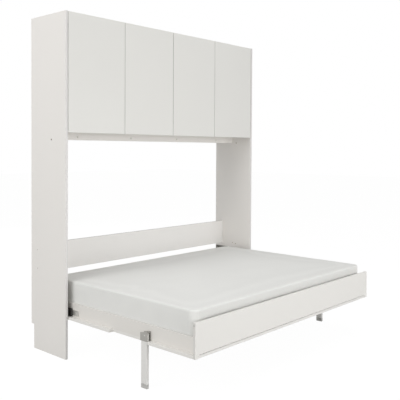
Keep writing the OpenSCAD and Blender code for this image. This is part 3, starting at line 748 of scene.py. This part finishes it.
class CABINETBED_OT_cabinet(bpy.types.Operator):
    """The cabinet's boards with their edge bands, the rail, the buffers and the wall angles"""
    bl_idname = "cabinet_bed.cabinet"
    bl_label = "Cabinet boards"

    def execute(self, context):
        for side in SIDES:
            board(side + "_side_panel", side + "_side_board_of_cabinet", "panel_face", "panel_band",
                  {REAR, UNDER})
            board(side + "_shelf", side + "_cupboard_shelf", "panel_face", "panel_band", {REAR})
        for node in ("cupboard_top", "cupboard_floor", "cupboard_divider", "stop_rail"):
            board(node, node + "_panel", "panel_face", "panel_band", {REAR})
        board("rear_board", "rear_board_panel", "rear_face", "rear_band")
        self.back()
        fitting("stop_bumpers", "rubber_buffers", "buffer", radius=2 * MM, segments=3)
        fitting("wall_brackets", "wall_angles", "zinc", radius=0.5 * MM)
        fitting("shelf_pins", "pins_of_shelves", "zinc", radius=0.4 * MM)
        return {"FINISHED"}

    def back(self):
        """The cupboard's back: coated towards the cupboard, plain hardboard towards the wall."""
        obj = board("cupboard_back", "cupboard_back_panel", "panel_face", "panel_band", cuts="hardboard")
        for polygon in obj.data.polygons:
            polygon.material_index = ON_CUT if polygon.normal.y > -0.5 else ON_FACE


class CABINETBED_OT_doors(bpy.types.Operator):
    """Four doors with their hinge arms and hinge cups"""
    bl_idname = "cabinet_bed.doors"
    bl_label = "Doors"

    def execute(self, context):
        screw_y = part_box("door_hinge_arms")[1].y - PLATE_SCREW_BACK
        cabinet = body_of_node("door_hinge_arms")
        for number, seat in enumerate(self.seats(), start=1):
            door = "door_%d" % number
            board(door, door + "_leaf", "door_face", "door_band")
            fitting(door + "_pins", door + "_hinge_pins", "zinc", radius=0.4 * MM)
            low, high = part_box(door)
            hung_left = number % 2 == 1
            edge = low.x if hung_left else high.x
            inward = 1 if hung_left else -1
            for place, z in (("lower", low.z + HINGE_INSET), ("upper", high.z - HINGE_INSET)):
                hinge = "%s_%s_hinge" % (door, place)
                self.cup(hinge + "_cup", (edge + inward * CUP_INSET, high.y, z), door)
                for end, rise in (("low", -PLATE_SCREW_RISE), ("high", PLATE_SCREW_RISE)):
                    spot = (seat + inward * HINGE_SHEET, screw_y, z + rise)
                    screw_head("%s_%s_screw" % (hinge, end), spot, (inward, 0, 0),
                               PLATE_SCREW, PLATE_SCREW_HEIGHT, cabinet)
        fitting("door_hinge_arms", "hinge_arms", "zinc", radius=0.4 * MM)
        return {"FINISHED"}

    def seats(self):
        """Where each door's hinge plates lie, along X, from the first door to the last."""
        divider_low, divider_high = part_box("cupboard_divider")
        return (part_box("left_side_panel")[1].x, divider_low.x,
                divider_high.x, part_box("right_side_panel")[0].x)

    def cup(self, name, place, body):
        """The flange and cup of a hinge, set in the back of a door."""
        bpy.ops.mesh.primitive_cylinder_add(
            vertices=CUP_SIDES, radius=CUP_RADIUS, depth=CUP_FLANGE, location=place)
        obj = bpy.context.object
        obj.name = name
        obj.rotation_euler = (-math.pi / 2, 0, 0)
        obj.location.y += CUP_FLANGE / 2
        settle(obj)
        select_faces(obj, lambda normal: normal.y > ALONG)
        bpy.ops.mesh.inset(thickness=CUP_RIM, depth=0)
        bpy.ops.mesh.inset(thickness=CUP_SLOPE, depth=-CUP_DEPTH)
        leave_edit()
        round_edges(obj, CUP_EDGE)
        add_detail(obj, body, "zinc")


class CABINETBED_OT_bed_boards(bpy.types.Operator):
    """The bed's boards: the panel under it, and the boards at its front, its sides and the wall"""
    bl_idname = "cabinet_bed.bed_boards"
    bl_label = "Bed boards"

    def execute(self, context):
        for node, name in (("decor_panel", "panel_under_bed"), ("tail_board", "bed_tail_board")):
            board(node, name, "bed_face", "bed_band", cuts="bed_band")
        board("front_board", "bed_front_board", "bed_face", "bed_band", ENDS, cuts="end_band")
        for side in SIDES:
            name = side + "_bed_side_board"
            board(side + "_side_board", name, "side_face", "bed_band", cuts="bed_band")
        fitting("end_glides", "glides_of_front_board", "foot_plastic", radius=0.6 * MM)
        return {"FINISHED"}


class CABINETBED_OT_slats(bpy.types.Operator):
    """The slats, what carries them, and the corner angles"""
    bl_idname = "cabinet_bed.slats"
    bl_label = "Slats"

    def execute(self, context):
        fitting("slats", "wooden_slats", "slat_along_y", radius=2.5 * MM, segments=3)
        fitting("slat_ledgers", "ledgers", "beam_along_x", radius=1.5 * MM)
        fitting("centre_beam", "middle_beam", "beam_along_x", radius=1.5 * MM)
        fitting("slat_holders", "holders_of_slats", "black_plastic", radius=0.8 * MM)
        fitting("corner_angles", "angles_in_corners", "zinc", radius=0.5 * MM)
        return {"FINISHED"}


class CABINETBED_OT_mattress(bpy.types.Operator):
    """The mattress, swollen by a cloth simulation, in its knitted cover"""
    bl_idname = "cabinet_bed.mattress"
    bl_label = "Mattress"

    def execute(self, context):
        values = settings().mattress
        low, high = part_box("mattress")
        obj = self.block(low, high, values)
        self.grid(obj, values.grid)
        self.swell(obj, values)
        self.crease(obj, low, high, values.crease)
        finer = obj.modifiers.new("finer", "SUBSURF")
        finer.levels = 1
        finer.render_levels = 1
        bake_modifiers(obj)
        self.keep_inside(obj, low, high)
        pick(obj)
        bpy.ops.object.shade_smooth()
        obj.data.materials.append(finish("cover"))
        stand_for(obj, "mattress")
        return {"FINISHED"}

    def block(self, low, high, values):
        """A block with well rounded corners, rounded upper edges and slightly rounded lower edges."""
        start = low - Vector((values.proud, values.front, 0))
        end = high + Vector((values.proud, 0, COVER_ABOVE))
        bpy.ops.mesh.primitive_cube_add(size=1, location=(start + end) / 2)
        obj = bpy.context.object
        obj.name = "mattress_in_cover"
        obj.scale = end - start
        settle(obj)
        bevel_edges(obj, values.corner, CORNER_SEGMENTS, lambda middle, way: abs(way.z) > ALONG)
        bevel_edges(obj, values.top_round, TOP_SEGMENTS, lambda middle, way: middle.z > end.z - NEAR)
        bevel_edges(obj, values.low_round, LOW_SEGMENTS, lambda middle, way: middle.z < start.z + NEAR)
        return obj

    def grid(self, obj, size):
        """Cuts the large faces into a grid, one direction after the other."""
        for axis in range(3):
            cage = enter_edit(obj, "EDGE")
            longest = 0
            for edge in cage.edges:
                way = edge.verts[1].co - edge.verts[0].co
                if abs(way[axis]) > ALONG_GRID * way.length and way.length > 2 * size:
                    edge.select_set(True)
                    longest = max(longest, way.length)
            bmesh.update_edit_mesh(obj.data)
            bpy.ops.mesh.subdivide(number_cuts=round(longest / size) - 1)
            leave_edit()

    def swell(self, obj, values):
        """Cloth with a little pressure, each point held within the swell."""
        rest = [v.co.copy() for v in obj.data.vertices]
        cloth = obj.modifiers.new("cloth", "CLOTH")
        cloth.settings.use_pressure = True
        cloth.settings.uniform_pressure_force = values.pressure
        cloth.settings.effector_weights.gravity = 0
        cloth.settings.quality = CLOTH_QUALITY
        cloth.point_cache.frame_start = 1
        cloth.point_cache.frame_end = CLOTH_STEPS
        for step in range(1, CLOTH_STEPS + 1):
            bpy.context.scene.frame_set(step)
        depsgraph = bpy.context.evaluated_depsgraph_get()
        moved = [v.co.copy() for v in obj.evaluated_get(depsgraph).data.vertices]
        obj.modifiers.remove(cloth)
        for vertex, old, new in zip(obj.data.vertices, rest, moved):
            move = new - old
            if move.length > values.swell:
                move = move.normalized() * values.swell
            vertex.co = old + move
        bpy.context.scene.frame_set(1)

    def crease(self, obj, low, high, depth):
        """Soft creases of the cover, stronger towards the ends of the bed."""
        for vertex in obj.data.vertices:
            co = vertex.co
            from_end = min(co.x - low.x, high.x - co.x) / CREASE_REACH
            strength = depth * max(CREASE_LEAST, 1 - from_end)
            wave = ripple(co, CREASE_WAVE, CREASE_START)
            fine = ripple(co, CREASE_FINE)
            vertex.co = co + vertex.normal * (strength * (wave + CREASE_FINE_SHARE * fine))

    def keep_inside(self, obj, low, high):
        """Keeps the mattress on the slats and clear of the board at the wall."""
        for vertex in obj.data.vertices:
            vertex.co.z = max(vertex.co.z, low.z)
            vertex.co.y = min(vertex.co.y, high.y + WALL_ROOM)


class CABINETBED_OT_pivots(bpy.types.Operator):
    """Pivot plates, steel arms, their covers, the springs' bars, and the screws of the panels"""
    bl_idname = "cabinet_bed.pivots"
    bl_label = "Pivot fittings"

    def execute(self, context):
        for side in SIDES:
            fitting(side + "_pivot_plate", side + "_pivot", "grey_steel", radius=0.5 * MM)
            fitting(side + "_spring_bracket", side + "_spring_bar", "dark_steel", radius=0.5 * MM)
            fitting(side + "_bed_arm", side + "_tilting_arm", "zinc", radius=0.6 * MM)
            fitting(side + "_arm_cover", side + "_pivot_cover", "black_plastic",
                    radius=1.5 * MM, segments=3)
        fitting("arm_screws", "screws_of_arms", "zinc", radius=0.4 * MM, rim=3.6 * MM)
        fitting("panel_screws", "screws_of_panels", "zinc", radius=0.2 * MM, rim=1.3 * MM)
        return {"FINISHED"}


class CABINETBED_OT_springs(bpy.types.Operator):
    """The two gas springs"""
    bl_idname = "cabinet_bed.springs"
    bl_label = "Gas springs"

    def execute(self, context):
        for side in SIDES:
            fitting(side + "_spring_tube", side + "_gas_spring_tube", "spring_paint", radius=0.5 * MM)
            fitting(side + "_spring_rod", side + "_gas_spring_rod", "rod_chrome", radius=0.4 * MM)
        return {"FINISHED"}


class CABINETBED_OT_legs(bpy.types.Operator):
    """The folding legs with their brackets, pins and feet"""
    bl_idname = "cabinet_bed.legs"
    bl_label = "Legs"

    def execute(self, context):
        for side in SIDES:
            fitting(side + "_leg", side + "_leg_tube", "leg_coat", radius=2.2 * MM, segments=4)
            fitting(side + "_leg_foot", side + "_foot", "foot_plastic", radius=2.0 * MM, segments=3)
            fitting(side + "_leg_bracket", side + "_bracket_of_leg", "grey_steel", radius=0.5 * MM)
        fitting("leg_pins", "pins_of_legs", "zinc", radius=0.5 * MM)
        return {"FINISHED"}


class CABINETBED_OT_bolts(bpy.types.Operator):
    """The closing bolts in their housings"""
    bl_idname = "cabinet_bed.bolts"
    bl_label = "Closing bolts"

    def execute(self, context):
        for side in SIDES:
            fitting(side + "_bolt_housing", side + "_housing_of_bolt", "nylon",
                    radius=1.5 * MM, segments=3)
            fitting(side + "_closing_bolt", side + "_bolt", "zinc", radius=0.6 * MM)
        return {"FINISHED"}


class CABINETBED_OT_studio(bpy.types.Operator):
    """Pale floor, soft lamps and the camera"""
    bl_idname = "cabinet_bed.studio"
    bl_label = "Studio"

    def execute(self, context):
        values = settings().studio
        context.scene.view_settings.view_transform = "Standard"
        self.floor(values)
        self.sky(values.sky)
        for name, place, size, power in LAMPS:
            self.lamp(name, place, size, power)
        self.camera(values)
        return {"FINISHED"}

    def floor(self, values):
        """A painted floor that keeps the object's shadow, and that the camera sees as white."""
        bpy.ops.mesh.primitive_plane_add(size=FLOOR_SIZE)
        obj = bpy.context.object
        obj.name = "studio_floor"
        mat = bpy.data.materials.new("studio_floor")
        mat.use_nodes = True
        tree = mat.node_tree
        tree.nodes.clear()
        sink = tree.nodes.new("ShaderNodeOutputMaterial")
        paint = tree.nodes.new("ShaderNodeBsdfDiffuse")
        paint.inputs["Color"].default_value = (*values.floor, 1)
        white = tree.nodes.new("ShaderNodeEmission")
        white.inputs["Strength"].default_value = values.seen
        mix = tree.nodes.new("ShaderNodeMixShader")
        factor = math_node(tree, "MULTIPLY", seen_by_eye(tree), FLOOR_WHITE)
        tree.links.new(factor, mix.inputs[0])
        tree.links.new(paint.outputs[0], mix.inputs[1])
        tree.links.new(white.outputs[0], mix.inputs[2])
        tree.links.new(mix.outputs[0], sink.inputs[0])
        obj.data.materials.append(mat)

    def sky(self, strength):
        """Even light from all round, which the camera sees as white."""
        world = bpy.data.worlds.new("studio")
        bpy.context.scene.world = world
        world.use_nodes = True
        tree = world.node_tree
        tree.nodes.clear()
        sink = tree.nodes.new("ShaderNodeOutputWorld")
        back = tree.nodes.new("ShaderNodeBackground")
        back.inputs["Color"].default_value = (1, 1, 1, 1)
        level = math_node(tree, "MULTIPLY_ADD", seen_by_eye(tree), 1 - strength, strength)
        tree.links.new(level, back.inputs["Strength"])
        tree.links.new(back.outputs[0], sink.inputs[0])

    def lamp(self, name, place, size, power):
        """A square lamp that faces the bed and that the camera doesn't see."""
        bpy.ops.object.light_add(type="AREA", location=place)
        obj = bpy.context.object
        obj.name = name
        obj.data.size = size
        obj.data.energy = power
        obj.visible_camera = False
        obj.rotation_euler = (LAMP_TARGET - Vector(place)).to_track_quat("-Z", "Y").to_euler()

    def camera(self, values):
        """The camera at the photograph's place and angle."""
        bpy.ops.object.camera_add(location=values.place)
        obj = bpy.context.object
        obj.name = "photo_camera"
        turn = (Matrix.Rotation(-values.yaw, 4, "Z")
                @ Matrix.Rotation(math.pi / 2 + values.pitch, 4, "X")
                @ Matrix.Rotation(values.roll, 4, "Z"))
        obj.rotation_euler = turn.to_euler()
        obj.data.lens = values.lens
        obj.data.sensor_width = SENSOR_WIDTH
        obj.data.shift_x, obj.data.shift_y = values.shift
        obj.data.clip_end = CLIP_END
        bpy.context.scene.camera = obj


STEPS = (
    CABINETBED_OT_studio, CABINETBED_OT_cabinet, CABINETBED_OT_doors, CABINETBED_OT_bed_boards,
    CABINETBED_OT_slats, CABINETBED_OT_mattress, CABINETBED_OT_pivots, CABINETBED_OT_springs,
    CABINETBED_OT_legs, CABINETBED_OT_bolts,
)


class CABINETBED_PT_panel(bpy.types.Panel):
    """Lists the steps that dress the cabinet bed, and what the user can change"""
    bl_idname = "CABINETBED_PT_panel"
    bl_label = "Cabinet bed"
    bl_space_type = "VIEW_3D"
    bl_region_type = "UI"
    bl_category = "Cabinet bed"

    def draw(self, context):
        for step in STEPS:
            self.layout.operator(step.bl_idname)
        for group in ("boards", "mattress", "fittings", "studio"):
            values = getattr(settings(), group)
            box = self.layout.box()
            box.label(text=group.capitalize())
            for name in values.__annotations__:
                box.prop(values, name)


CLASSES = (
    CabinetBedBoards, CabinetBedMattress, CabinetBedFittings, CabinetBedStudio, CabinetBedSettings,
    *STEPS, CABINETBED_PT_panel,
)


def register():
    """Registers the classes and the settings."""
    for cls in CLASSES:
        bpy.utils.register_class(cls)
    bpy.types.Scene.cabinet_bed = bpy.props.PointerProperty(type=CabinetBedSettings)


def unregister():
    """Takes the settings and the classes away again."""
    del bpy.types.Scene.cabinet_bed
    for cls in reversed(CLASSES):
        bpy.utils.unregister_class(cls)


def main():
    register()
    for step in STEPS:
        family, name = step.bl_idname.split(".")
        getattr(getattr(bpy.ops, family), name)()


if __name__ == "__main__":
    main()
